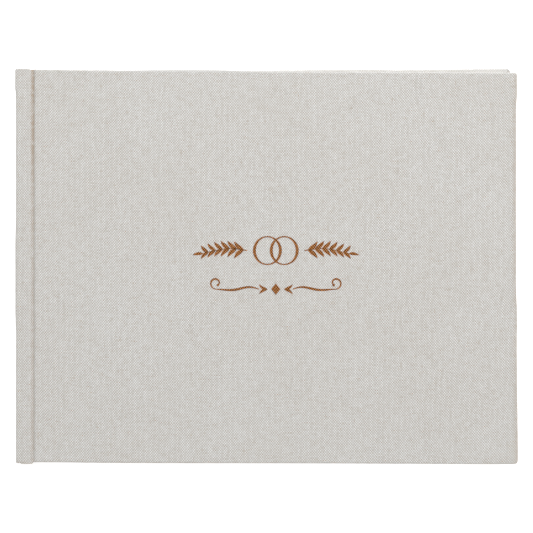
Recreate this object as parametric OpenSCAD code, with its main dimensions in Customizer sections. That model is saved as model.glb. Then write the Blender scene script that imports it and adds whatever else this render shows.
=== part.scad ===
// Case-bound landscape guest book, lying closed on its back cover.
// Millimetres. The origin is the middle of the book on the surface that it lies on, +Z is up,
// +X runs from the spine to the fore edge, and +Y runs towards the head.

/* [Covers] */
// Length of the closed book from the spine face to the fore edge
book_w = 280; // [240:1:320]
// Height of the covers from head to tail
cover_h = 219; // [190:1:260]
// Thickness of a cover board
board_t = 2.5; // [2.5:0.1:3]
// Thickness of the book cloth
cloth_t = 0.4; // [0.3:0.05:0.4]
// Thickness of a pastedown
paste_t = 0.2; // [0.2:0.05:0.3]
// Width of the cloth turned in over the inner face of a board
turn_in = 15; // [12:1:18]
// Radius of the two fore-edge corners, seen from above
corner_r = 1.6; // [1:0.1:3]
// Angle by which the front board runs out of square, towards the tail
front_skew = 0.25; // [0:0.05:0.5]
// Angle by which the back board runs out of square, towards the head
back_skew = 0.45; // [0:0.05:0.5]
// Distance by which the back cover stops short of the front cover
back_setback = 2; // [0:0.5:2]

/* [Spine and joints] */
// Thickness of the spine board
spine_board_t = 2; // [1.8:0.1:2.2]
// Width of the flat band between the spine face and a joint groove
band_w = 8.7; // [8.7:0.1:10]
// Width of a joint groove at its mouth
groove_w = 2.2; // [2:0.1:2.4]
// Depth of a joint groove
groove_d = 2; // [1.5:0.1:2]
// Radius of the cloth fold at each long edge of the spine, on which a cover turns
fold_r = 0.6; // [0.5:0.05:0.7]
// Length by which the band and the spine stand out past the boards at head and tail
band_proud = 0.5; // [0:0.1:0.8]

/* [Leaf block] */
// Number of folded sections, an even number
sections = 8; // [4:2:12]
// Number of leaves in a section
section_leaves = 8; // [6:2:10]
// Thickness of a leaf
leaf_t = 0.2; // [0.15:0.01:0.22]
// Distance of the leaves' edges inside the edges of the front cover
square_w = 3.5; // [3:0.1:5]
// Depth of the folded backs that stay with the spine
back_depth = 4.65; // [4:0.05:4.65]

/* [Sewing and bands] */
// Diameter of the sewing thread
thread_d = 0.5; // [0.4:0.05:0.5]
// Distance of the outer sewing stations from the middle of the spine
outer_station = 90; // [80:1:92]
// Distance of the inner sewing stations from the middle of the spine
inner_station = 32; // [20:1:50]
// Diameter of the rolled head and tail bands
band_roll_d = 2; // [1.6:0.1:2.2]

/* [Foil ornament] */
// Length of the upper row, a pair of rings between two sprigs
upper_w = 93.4; // [80:0.1:100]
// Length of the lower row, a lozenge between two curling rules
lower_w = 73.6; // [60:0.1:80]
// Outside radius of a ring
ring_r = 8.1; // [6:0.1:9]
// Distance between the middles of the two rings
ring_apart = 9.4; // [8:0.1:12]
// Width of a ring's line
ring_w = 1; // [0.6:0.1:1.4]
// Number of leaf pairs on a sprig
leaf_pairs = 6; // [3:1:7]
// Height of the foil above the cloth
foil_t = 0.05; // [0.04:0.01:0.1]

/* [Hidden] */

$fn = 48;
clear = 0.05;                                   // play between pieces of one body
leaf_play = 0.1;                                // play beside a flyleaf
cut = 1;                                        // how far a cut runs past the face that it opens
cover_t = cloth_t + board_t + cloth_t + paste_t;
section_t = section_leaves * leaf_t;
section_pitch = section_t + clear;
block_t = sections * section_pitch;
book_t = block_t + 2 * (leaf_t + 2 * leaf_play + cover_t);
joint_u = band_w + groove_w;                    // board edge, from the spine face
board_w = book_w - joint_u;
half_h = cover_h / 2;
leaf_h = cover_h - 2 * square_w;
leaf_lead = 0.9;                                // leaves begin this far before the board edge
leaf_u = joint_u - leaf_lead;                   // inner end of a turning leaf
leaf_w = book_w - square_w - leaf_u;
liner_u = 2 * cloth_t + spine_board_t + clear;
mull_u = liner_u + paste_t + clear;
back_u = mull_u + paste_t + clear;              // outer face of the folded backs
back_pitch = (book_t - 2 * (cloth_t + leaf_play)) / sections;
back_t = back_pitch - 2 * clear;
gutter_shift = 0.2;                             // thread channel, past the middle of the fold's arc
gutter_u = back_u + back_t / 2 + gutter_shift;
kerf_depth = 0.7;                               // saw cut across the backs at a sewing station
kerf_w = 0.8;
kerf_u = back_u + kerf_depth / 2;
stations = [-outer_station, -inner_station, inner_station, outer_station];
spine_h = cover_h + 2 * band_proud;
mull_margin = 12;                               // mull stops short of the head and tail of the leaves
mull_h = leaf_h - 2 * mull_margin;
mull_reach = 25;                                // mull glued to the inner face of a board
spine_margin = 2;                               // liner and mull stop short of the long folds
linen = [0.80, 0.79, 0.77];
greyboard = [0.58, 0.56, 0.53];
ivory = [0.95, 0.94, 0.90];
kraft = [0.66, 0.52, 0.36];
copper = [0.59, 0.38, 0.22];

// A point u from the spine face and z from the table
module at(u, z) {
    translate([u - book_w / 2, 0, z]) children();
}

// A box from u0 to u1, from z0 to z1, h long from tail to head
module slab(u0, u1, z0, z1, h) {
    at(u0, z0) translate([0, -h / 2, 0]) cube([u1 - u0, h, z1 - z0]);
}

// A profile drawn in (u, z), h long from tail to head
module along_spine(h) {
    at(0, 0) rotate([90, 0, 0]) linear_extrude(h, center = true) children();
}

// One cover side: children are drawn outer face up at z = 0, and land on the front or the back
module front_side() {
    translate([0, 0, book_t]) children();
}

module back_side() {
    mirror([0, 0, 1]) children();
}

// Board outline with rounded fore-edge corners, drawn inset from the cloth's outer edge
function board_outline(width, skew, inset) = let (
    r = corner_r - inset,
    arc = [for (i = [0 : 8]) 90 * i / 8],
    tail = [for (a = arc) [width - corner_r + r * sin(a), corner_r - half_h - r * cos(a)]],
    head = [for (a = arc) [width - corner_r + r * cos(a), half_h - corner_r + r * sin(a)]],
    square_on = concat([[inset, inset - half_h]], tail, head, [[inset, half_h - inset]])
) [for (p = square_on) [p.x, p.y + tan(skew) * p.x]];

module board_plate(width, skew, inset, depth, thickness) {
    at(joint_u, -depth - thickness)
        linear_extrude(thickness) polygon(board_outline(width, skew, inset));
}

module cover_board(width, skew) {
    color(greyboard) board_plate(width, skew, cloth_t, cloth_t, board_t);
}

// Cloth from the spine's fold over the band and the groove to the board
module joint_strip() {
    foot = 0.6;                                 // run of a groove's sloping side
    difference() {
        along_spine(spine_h) polygon([
            [fold_r, 0],
            [band_w, 0],
            [band_w + foot, -groove_d],
            [joint_u - foot, -groove_d],
            [joint_u, 0],
            [joint_u + cloth_t, 0],
            [joint_u + cloth_t, -groove_d - cloth_t],
            [band_w + foot - cloth_t, -groove_d - cloth_t],
            [band_w - cloth_t, -cloth_t],
            [fold_r, -cloth_t]
        ]);
        along_spine(spine_h + 2 * cut) translate([fold_r, -fold_r]) circle(fold_r + clear);
    }
}

// Cloth around a board: outer face, edges and the turned-in margins
module cover_cloth(width, skew) {
    margin_h = cover_h - 2 * turn_in;
    color(linen) {
        joint_strip();
        difference() {
            board_plate(width, skew, 0, 0, board_t + 2 * cloth_t);
            board_plate(width, skew, cloth_t, cloth_t, board_t);
            slab(joint_u + cloth_t, joint_u + width - turn_in,
                -cover_t, -cloth_t - board_t + clear, margin_h);
        }
    }
}

// Open-weave lining glued to the inner face of a board
module hinge_mull() {
    inner = cloth_t + board_t;
    color(ivory) slab(joint_u + cloth_t + clear, joint_u + mull_reach, -inner - paste_t, -inner, mull_h);
}

// Endpaper glued over the turned-in cloth, the mull and the bare board
module pastedown(width) {
    inner = cloth_t + board_t;
    color(ivory) difference() {
        union() {
            slab(joint_u + clear, book_w - square_w, -cover_t, -inner - cloth_t, leaf_h);
            slab(joint_u + cloth_t + clear, joint_u + width - turn_in - clear,
                -inner - cloth_t - clear, -inner, cover_h - 2 * turn_in - 2 * clear);
        }
        slab(joint_u, joint_u + mull_reach + clear, -inner - paste_t, 0, cover_h);
    }
}

module back_board() { back_side() cover_board(board_w - back_setback, back_skew); }
module back_cloth() { back_side() cover_cloth(board_w - back_setback, back_skew); }
module back_pastedown() { back_side() pastedown(board_w - back_setback); }
module back_hinge_mull() { back_side() hinge_mull(); }

module front_board() { front_side() cover_board(board_w, -front_skew); }
module front_cloth() { front_side() cover_cloth(board_w, -front_skew); }
module front_pastedown() { front_side() pastedown(board_w); }
module front_hinge_mull() { front_side() hinge_mull(); }

// Leaves lying flat between z0 and z0 + thickness
module leaves(z0, thickness) {
    color(ivory) slab(leaf_u, leaf_u + leaf_w, z0, z0 + thickness, leaf_h);
}

module back_flyleaf() { leaves(cover_t + leaf_play, leaf_t); }
module front_flyleaf() { leaves(book_t - cover_t - leaf_play - leaf_t, leaf_t); }

// The part of section i that turns; section 1 is the uppermost
module section(i) {
    leaves(book_t / 2 + (sections / 2 - i) * section_pitch + clear / 2, section_t);
}

function back_z(i) = book_t / 2 + (sections / 2 - i + 0.5) * back_pitch;

// Folded back of section i: two halves around the gutter that holds the sewing thread
module section_back(i) {
    slot_t = 0.1;                               // opening between the two halves of the fold
    r = back_t / 2;
    color(ivory) difference() {
        along_spine(leaf_h) difference() {
            translate([0, back_z(i)]) union() {
                translate([back_u + r, 0]) circle(r);
                translate([back_u + r, -r]) square([back_depth - r, back_t]);
            }
            translate([gutter_u, back_z(i)]) circle(thread_d / 2 + clear);
            translate([gutter_u, back_z(i) - slot_t / 2]) square([back_depth, slot_t]);
        }
        for (y = stations) translate([0, y, 0]) {
            slab(back_u - cut, back_u + kerf_depth, back_z(i) - back_t, back_z(i) + back_t, kerf_w);
            at(kerf_u, back_z(i)) rotate([0, 90, 0])
                cylinder(h = gutter_u - kerf_u, d = thread_d + 2 * clear);
        }
    }
}

// Thread inside every fold, out through the stations and across the backs
module sewing_thread() {
    rise = back_z(1) - back_z(sections);
    color(linen) {
        for (i = [1 : sections]) {
            at(gutter_u, back_z(i)) rotate([90, 0, 0])
                cylinder(h = 2 * outer_station, d = thread_d, center = true);
            for (y = stations) translate([0, y, 0]) at(kerf_u, back_z(i))
                rotate([0, 90, 0]) cylinder(h = gutter_u - kerf_u, d = thread_d);
        }
        for (y = stations) translate([0, y, 0]) at(kerf_u, back_z(sections))
            cylinder(h = rise, d = thread_d);
    }
}

module spine_board() {
    color(greyboard) slab(cloth_t, cloth_t + spine_board_t,
        2 * fold_r + leaf_play, book_t - 2 * fold_r - leaf_play, spine_h - 2 * cloth_t);
}

// Cloth over the spine face, round both long folds and over the ends of the spine board
module spine_cloth() {
    low = 2 * fold_r + leaf_play;
    color(linen) {
        slab(0, cloth_t, fold_r, book_t - fold_r, spine_h);
        for (z = [fold_r, book_t - fold_r]) at(fold_r, z)
            rotate([90, 0, 0]) cylinder(h = spine_h, r = fold_r, center = true);
        difference() {
            slab(cloth_t / 2, liner_u - clear, low, book_t - low, spine_h);
            slab(cloth_t, cloth_t + spine_board_t, low - cut, book_t - low + cut, spine_h - 2 * cloth_t);
            slab(cloth_t, liner_u, low - cut, book_t - low + cut, spine_h - 2 * turn_in);
        }
    }
}

module spine_liner() {
    color(kraft) slab(liner_u, liner_u + paste_t, spine_margin, book_t - spine_margin, leaf_h);
}

module spine_mull() {
    color(ivory) slab(mull_u, mull_u + paste_t, spine_margin, book_t - spine_margin, mull_h);
}

// Rolled band on the end of the folded backs, with its tab glued to the spine
module end_band() {
    reach = cover_t;
    roll_y = (leaf_h + band_roll_d) / 2;
    color("wheat") {
        translate([0, roll_y, 0]) at(mull_u + band_roll_d / 2, reach)
            cylinder(h = book_t - 2 * reach, d = band_roll_d);
        translate([0, (roll_y + mull_h / 2 + clear) / 2, 0])
            slab(mull_u, mull_u + paste_t, reach, book_t - reach, roll_y - mull_h / 2 - clear);
    }
}

module headband() { end_band(); }
module tailband() { mirror([0, 1, 0]) end_band(); }

// A pointed leaf from the origin along +X
module foil_leaf(length, width) {
    r = (length * length / width + width) / 4;
    intersection() {
        translate([length / 2, width / 2 - r, 0]) cylinder(h = foil_t, r = r, $fn = 96);
        translate([length / 2, r - width / 2, 0]) cylinder(h = foil_t, r = r, $fn = 96);
    }
}

// Unit vector square to a line at its point i
function side_of(line, i) = let (
    along = line[min(i + 1, len(line) - 1)] - line[max(i - 1, 0)]
) [-along.y, along.x] / norm(along);

// A pen stroke along a line, as wide as widths says at each point
module foil_stroke(line, widths) {
    last = len(line) - 1;
    linear_extrude(foil_t) polygon(concat(
        [for (i = [0 : last]) line[i] + side_of(line, i) * widths[i] / 2],
        [for (i = [last : -1 : 0]) line[i] - side_of(line, i) * widths[i] / 2]
    ));
}

// A swaying sprig growing along +X from the origin: stem, paired leaves and one leaf at the tip
module foil_sprig(length) {
    steps = 16;
    tip = 5.9;                                  // leaf at the end of the stem
    leaf = 7.2;                                 // lowest leaf of a pair
    taper = 0.3;                                // how much shorter the leaves of each next pair are
    stem = [for (k = [0 : steps]) let (t = k / steps)
        [(length - tip) * t, 1.5 * sin(207 * t) - t]];
    foil_stroke(stem, [for (k = [0 : steps]) 0.65 - 0.3 * k / steps]);
    translate(stem[steps]) rotate(-8) foil_leaf(tip, 1.75);
    for (i = [0 : leaf_pairs - 1]) let (foot = stem[round((i + 0.5) * steps / (leaf_pairs + 0.3))])
        for (side = [-1, 1])
            translate(foot) rotate(side * 42) foil_leaf(leaf - taper * i, 1.9);
}

module foil_ring(x) {
    translate([x, 0, 0]) difference() {
        cylinder(h = foil_t, r = ring_r);
        translate([0, 0, -cut]) cylinder(h = foil_t + 2 * cut, r = ring_r - ring_w);
    }
}

// A swelling rule along +X from x0 that ends in a curl, with a pair of leaves before it
module foil_rule(x0) {
    steps = 16;
    curl_r = 3.4;
    x1 = lower_w / 2 - curl_r;
    sway = 1.6;                                 // rise and fall of the rule
    leaf_x = 4.6;
    foil_stroke(
        [for (k = [0 : steps]) let (t = k / steps) [x0 + (x1 - x0) * t, sway * sin(360 * t) * (1 - t)]],
        [for (k = [0 : steps]) 0.45 + 0.6 * sin(180 * k / steps)]);
    foil_stroke(
        [for (k = [0 : steps]) let (a = 315 * k / steps - 90, r = curl_r * (1 - 0.55 * k / steps))
            [x1 + r * cos(a), curl_r + r * sin(a)]],
        [for (k = [0 : steps]) 0.45 + 0.3 * sin(180 * k / steps)]);
    for (side = [-1, 1]) translate([leaf_x, 0, 0]) rotate(side * 30) foil_leaf(5.6, 1.5);
}

// Rings between two sprigs above, a lozenge between two curling rules below
module foil_ornament() {
    upper_y = 8.9;
    row_drop = 21.6;
    ring_gap = 3.2;                             // from a ring to its sprig
    rule_x = 9.5;                               // from the middle to a rule
    lozenge = [2.6, 3.25];
    sprig_x = ring_apart / 2 + ring_r + ring_gap;
    color(copper) translate([joint_u / 2, upper_y, book_t]) {
        foil_ring(-ring_apart / 2);
        foil_ring(ring_apart / 2);
        for (side = [0, 1]) mirror([side, 0, 0])
            translate([sprig_x, 0, 0]) foil_sprig(upper_w / 2 - sprig_x);
        translate([0, -row_drop, 0]) {
            linear_extrude(foil_t)
                polygon([[-lozenge.x, 0], [0, -lozenge.y], [lozenge.x, 0], [0, lozenge.y]]);
            for (side = [0, 1]) mirror([side, 0, 0]) foil_rule(rule_x);
        }
    }
}

back_board();
back_cloth();
back_pastedown();
back_hinge_mull();
back_flyleaf();
front_board();
front_cloth();
front_pastedown();
front_hinge_mull();
front_flyleaf();
spine_board();
spine_cloth();
spine_liner();
spine_mull();
headband();
tailband();
sewing_thread();
foil_ornament();
for (i = [1 : sections]) {
    section(i);
    section_back(i);
}
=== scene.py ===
import math
import random

import bpy
import numpy as np
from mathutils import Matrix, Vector, noise


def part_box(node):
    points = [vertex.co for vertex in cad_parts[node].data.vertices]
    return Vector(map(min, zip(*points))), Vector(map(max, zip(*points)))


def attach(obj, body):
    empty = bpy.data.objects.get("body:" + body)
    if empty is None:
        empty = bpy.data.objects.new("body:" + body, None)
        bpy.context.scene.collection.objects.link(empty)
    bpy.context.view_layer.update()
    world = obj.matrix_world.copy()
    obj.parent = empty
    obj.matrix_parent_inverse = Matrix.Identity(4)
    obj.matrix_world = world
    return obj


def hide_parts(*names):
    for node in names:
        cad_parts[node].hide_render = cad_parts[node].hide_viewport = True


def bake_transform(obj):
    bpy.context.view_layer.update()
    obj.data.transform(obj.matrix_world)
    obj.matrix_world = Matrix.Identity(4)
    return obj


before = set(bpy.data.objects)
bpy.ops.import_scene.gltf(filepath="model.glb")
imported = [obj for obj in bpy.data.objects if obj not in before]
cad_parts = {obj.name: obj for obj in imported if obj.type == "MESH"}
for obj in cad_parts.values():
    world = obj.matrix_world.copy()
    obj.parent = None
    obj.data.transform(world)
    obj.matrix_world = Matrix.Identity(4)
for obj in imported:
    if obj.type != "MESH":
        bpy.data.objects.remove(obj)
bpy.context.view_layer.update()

MM = 0.001

# ---- sizes, most of them from the frame ----
SPINE_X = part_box("spine_cloth")[0].x            # outer face of the spine
FORE_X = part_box("front_cloth")[1].x             # fore edge of the front cover
BACK_FORE_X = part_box("back_cloth")[1].x         # fore edge of the back cover
BOOK_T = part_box("front_cloth")[1].z             # closed thickness
CLOTH_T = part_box("back_board")[0].z             # thickness of the book cloth
BOARD_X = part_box("front_board")[0].x - CLOTH_T  # spine-side edge of the covered boards
COVER_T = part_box("back_board")[1].z + CLOTH_T   # board with cloth on both faces
PASTE_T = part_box("back_pastedown")[1].z - COVER_T
BAND_HALF_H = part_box("spine_cloth")[1].y        # half the height of the band and spine
LEAF_HALF_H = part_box("section_1")[1].y
LEAF_FORE_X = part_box("section_1")[1].x
BACKS_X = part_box("section_back_1")[0].x         # outer face of the folded backs
SECTIONS = sum(n.startswith("section_back_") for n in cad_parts)
LEAF_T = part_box("front_flyleaf")[1].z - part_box("front_flyleaf")[0].z
SECTION_LEAVES = 8
CORNER_R = 1.6 * MM                             # rounding of the cloth at the corners of the case
TURN_IN = 15 * MM                               # width of the cloth glued inside the boards
BAND_PROUD = 0.5 * MM                           # the spine stands out past the boards at head and tail
BOARD_HALF_H = BAND_HALF_H - BAND_PROUD
FRONT_SKEW = -math.tan(math.radians(0.25))      # the covers' turn, as rise over run
BACK_SKEW = math.tan(math.radians(0.45))
SHOULDER_MARGIN = 0.9 * MM                      # cloth and turn-in above the folded backs


def smoothstep(a, b, x):
    t = min(1.0, max(0.0, (x - a) / (b - a)))
    return t * t * (3 - 2 * t)


# ---- making meshes ----
def add_object(name, data):
    obj = bpy.data.objects.new(name, data)
    bpy.context.scene.collection.objects.link(obj)
    return obj


def new_piece(name, verts, faces, material, uvs=None, smooth=True):
    """A mesh object from corners and faces; uvs holds one (u, v) per corner, in metres."""
    mesh = bpy.data.meshes.new(name)
    mesh.from_pydata([tuple(v) for v in verts], [], faces)
    mesh.validate()
    if uvs is not None:
        layer = mesh.uv_layers.new(name="flat")
        flat = np.array(uvs, np.float32)
        loops = np.zeros(len(mesh.loops), np.int32)
        mesh.loops.foreach_get("vertex_index", loops)
        layer.data.foreach_set("uv", flat[loops].ravel())
    mesh.polygons.foreach_set("use_smooth", [smooth] * len(mesh.polygons))
    mesh.materials.append(material)
    return add_object(name, mesh)


def grid_faces(lines, count):
    """Quads between neighbouring lines of count corners each."""
    faces = []
    for i in range(lines - 1):
        for j in range(count - 1):
            a, b = i * count + j, (i + 1) * count + j
            faces.append((a, b, b + 1, a + 1))
    return faces


def tube_faces(first, rings, count):
    """Quads of a tube: rings of count corners each, from corner number first."""
    faces = []
    for i in range(rings - 1):
        for j in range(count):
            a, b = first + i * count + j, first + i * count + (j + 1) % count
            faces.append((a, b, b + count, a + count))
    return faces


def thicken(obj, thickness):
    """Gives a single surface the thickness of its cloth or paper, behind its outer face."""
    solid = obj.modifiers.new("thickness", "SOLIDIFY")
    solid.thickness = thickness
    solid.offset = -1
    cut_edge = obj.modifiers.new("cut edge", "EDGE_SPLIT")
    cut_edge.split_angle = math.radians(60)
    return obj


# ---- the line that the cloth follows ----
SPINE_R = 1.5 * MM               # rounding of the cloth at the long edges of the spine
SPINE_WRAP = 2.8 * MM            # spine board with cloth on both faces
TURN_DEPTH = 1.9 * MM            # the cloth comes off the spine's flat face here
BAND_X = SPINE_X + 2.4 * MM      # and lies flat on the band from here
TURN_POINTS = 14                 # along the line round the spine's edge, and along the board's wall
WRAP = 2 * CLOTH_T               # cloth and its turned-in margin
GROOVE_MIDDLE = SPINE_X + 9.75 * MM
GROOVE_DEPTH = 1.0 * MM
GROOVE_REACH = 1.9 * MM          # from the middle of the groove up to the band
GROOVE_END = BOARD_X + 0.6 * MM  # where the cloth is up on the board
WALL_X = BOARD_X - 0.3 * MM      # where the cloth starts to climb the board's edge
CLIMB_END = BOARD_X + 0.9 * MM
BOARD_STEPS = 130                # points along the flat of a board


def groove_depth(x):
    """Depth of the cloth below the band; past the groove it climbs on to the board."""
    if x < GROOVE_MIDDLE:
        return GROOVE_DEPTH * smoothstep(GROOVE_MIDDLE - GROOVE_REACH, GROOVE_MIDDLE, x)
    return GROOVE_DEPTH * smoothstep(GROOVE_END, GROOVE_MIDDLE, x)


def running_lengths(points):
    """Distance along a line of points, from its first point to each of them."""
    return np.concatenate([[0], np.cumsum(np.linalg.norm(np.diff(points, axis=0), axis=1))])


def resample(points, count):
    """That many points, evenly spaced along a line of points."""
    points = np.array(points)
    lengths = running_lengths(points)
    at = np.linspace(0, lengths[-1], count)
    return [(np.interp(a, lengths, points[:, 0]), np.interp(a, lengths, points[:, 1])) for a in at]


def round_spine_edge():
    """Both lines from mid spine round its long edge, up to the band."""
    depths = np.linspace(BOOK_T / 2, TURN_DEPTH, 9)[:-1]
    outer = [(SPINE_X, depth) for depth in depths]
    inner = [(SPINE_X + SPINE_WRAP, depth) for depth in depths]
    turn = [(SPINE_X, TURN_DEPTH)]
    for a in np.linspace(0, math.pi / 2, 10):
        turn.append((SPINE_X + SPINE_R * (1 - math.cos(a)), SPINE_R * (1 - math.sin(a))))
    turn.append((BAND_X, 0.0))
    # round the spine board's covered end: x from the spine's face, and depth, in mm
    over_board_end = [(2.8, 1.9), (2.8, 1.45), (2.7, 1.15), (2.5, 0.92), (2.4, 0.8)]
    outer += resample(turn, TURN_POINTS)
    inner += resample([(SPINE_X + x * MM, depth * MM) for x, depth in over_board_end], TURN_POINTS)
    return outer, inner


def along_band_and_groove():
    """Both lines from the band down into the groove, up to the board's wall."""
    groove_start = GROOVE_MIDDLE - GROOVE_REACH
    on_band = np.linspace(BAND_X, groove_start, 8)[1:-1]
    in_groove = np.linspace(groove_start, WALL_X, 26)
    step = 0.05 * MM
    outer, inner = [], []
    for x in np.concatenate([on_band, in_groove]):
        depth = groove_depth(x)
        slope = (groove_depth(x + step) - groove_depth(x - step)) / (2 * step)
        size = math.hypot(1, slope)
        outer.append((x, depth))
        inner.append((x - slope / size * WRAP, depth + WRAP / size))
    return outer, inner


def up_board(inner_start):
    """Both lines from the groove on to the board: the outer one over it, the inner one under it."""
    over = [(x, groove_depth(x)) for x in np.linspace(WALL_X, CLIMB_END, 12)]
    under = [inner_start]
    under += [(BOARD_X - 0.02 * MM, 1.9 * MM), (BOARD_X, COVER_T - 0.6 * MM)]
    under += [(BOARD_X + 0.18 * MM, COVER_T - 0.18 * MM), (BOARD_X + 0.6 * MM, COVER_T)]
    under.append((CLIMB_END, COVER_T))
    return resample(over, TURN_POINTS)[1:], resample(under, TURN_POINTS)[1:]


def case_path(fore_x):
    """The line of one side of the case from mid spine to its fore edge, as (x, depth) of the cloth's
    outer face and of the inner face that it is wrapped round, and the outer face's flat coordinate."""
    outer, inner = round_spine_edge()
    over_groove, under_groove = along_band_and_groove()
    over_edge, under_edge = up_board(under_groove[-1])
    on_board = np.linspace(over_edge[-1][0], fore_x - CORNER_R, BOARD_STEPS)[1:]
    outer = np.array(outer + over_groove + over_edge + [(x, 0.0) for x in on_board])
    inner = np.array(inner + under_groove + under_edge + [(x, COVER_T) for x in on_board])
    lengths = running_lengths(outer)
    return outer, inner, lengths - lengths[-1] + outer[-1][0]


front_path, _, front_flat = case_path(FORE_X)
past_spine = front_path[:, 0] > SPINE_X + 5 * MM
SEAM_FLAT = front_flat[0]  # flat coordinate of the middle of the spine
GROOVE_FLAT = front_flat[np.argmax(front_path[:, 1] * past_spine)]


def ripple(x, y, front=True):
    """Height of the cloth's faint unevenness, which differs between the two covers."""
    side = front * smoothstep(SPINE_X, BOARD_X, x)
    fine = noise.noise((x * 60, y * 60, 1.7 + side))
    broad = noise.noise((x * 22, y * 22, 4.1))
    return 0.035 * MM * (fine + broad)


# ---- materials ----
class Nodes:
    """A material under construction, with short calls for its common nodes."""

    def __init__(self, name):
        self.material = bpy.data.materials.new(name)
        self.material.use_nodes = True
        self.tree = self.material.node_tree
        self.shader = self.tree.nodes["Principled BSDF"]

    def node(self, kind, **settings):
        made = self.tree.nodes.new(kind)
        for key, value in settings.items():
            setattr(made, key, value)
        return made

    def feed(self, socket, value):
        if isinstance(value, bpy.types.NodeSocket):
            self.tree.links.new(value, socket)
        else:
            socket.default_value = value

    def math(self, operation, *values):
        made = self.node("ShaderNodeMath", operation=operation)
        for socket, value in zip(made.inputs, values):
            self.feed(socket, value)
        return made.outputs[0]

    def plus(self, a, b):
        return self.math("ADD", a, b)

    def minus(self, a, b):
        return self.math("SUBTRACT", a, b)

    def times(self, a, b):
        return self.math("MULTIPLY", a, b)

    def mix(self, share, first, second):
        made = self.node("ShaderNodeMix", data_type="RGBA")
        self.feed(made.inputs["Factor"], share)
        self.feed(made.inputs[6], first)
        self.feed(made.inputs[7], second)
        return made.outputs[2]

    def vector(self, x, y, z):
        made = self.node("ShaderNodeCombineXYZ")
        for socket, value in zip(made.inputs, (x, y, z)):
            self.feed(socket, value)
        return made.outputs[0]

    def noise(self, at, scale=1.0, detail=2.0, roughness=0.5):
        made = self.node("ShaderNodeTexNoise")
        self.feed(made.inputs["Vector"], at)
        made.inputs["Scale"].default_value = scale
        made.inputs["Detail"].default_value = detail
        made.inputs["Roughness"].default_value = roughness
        return made.outputs[0]

    def spread(self, value, low, high):
        """value from low to high, as 0 to 1."""
        made = self.node("ShaderNodeMapRange", interpolation_type="SMOOTHSTEP")
        self.feed(made.inputs["Value"], value)
        made.inputs["From Min"].default_value = low
        made.inputs["From Max"].default_value = high
        return made.outputs[0]

    def split(self, value):
        """The three coordinates of a vector."""
        made = self.node("ShaderNodeSeparateXYZ")
        self.feed(made.inputs[0], value)
        return made.outputs

    def flat_mm(self):
        """The flat map's two coordinates, in millimetres."""
        uv = self.node("ShaderNodeUVMap", uv_map="flat")
        parts = self.split(uv.outputs[0])
        return [self.times(parts[k], 1 / MM) for k in (0, 1)]

    def object_mm(self):
        """The place on the piece, in millimetres."""
        place = self.node("ShaderNodeTexCoord")
        scaled = self.node("ShaderNodeVectorMath", operation="SCALE")
        self.feed(scaled.inputs[0], place.outputs["Object"])
        scaled.inputs["Scale"].default_value = 1 / MM
        return scaled.outputs[0]

    def bump(self, height, depth_mm, strength=1.0):
        made = self.node("ShaderNodeBump")
        made.inputs["Strength"].default_value = strength
        made.inputs["Distance"].default_value = depth_mm * MM
        self.feed(made.inputs["Height"], height)
        self.feed(self.shader.inputs["Normal"], made.outputs[0])

    def colour(self, value):
        self.feed(self.shader.inputs["Base Color"], value)

    def rough(self, value):
        self.feed(self.shader.inputs["Roughness"], value)


def srgb(r, g, b):
    """A colour given as 0 to 255, as the linear value that a shader takes."""
    def linear(c):
        c /= 255
        return c / 12.92 if c <= 0.04045 else ((c + 0.055) / 1.055) ** 2.4
    return (linear(r), linear(g), linear(b), 1.0)


WARP_PITCH = 0.689  # distance between warp threads, in mm
WEFT_PITCH = 0.791  # distance between weft threads, in mm
WEFT_BOW = 0.00049  # sag of the weft, in mm per squared mm from its middle
CROWN = 0.42        # how far the thread on top stands above the one under it
THREAD_STEP = 3.37  # from one thread to the next, in the noise that varies them
BOW_MIDDLE = (SPINE_X + FORE_X) / 2 / MM


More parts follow.
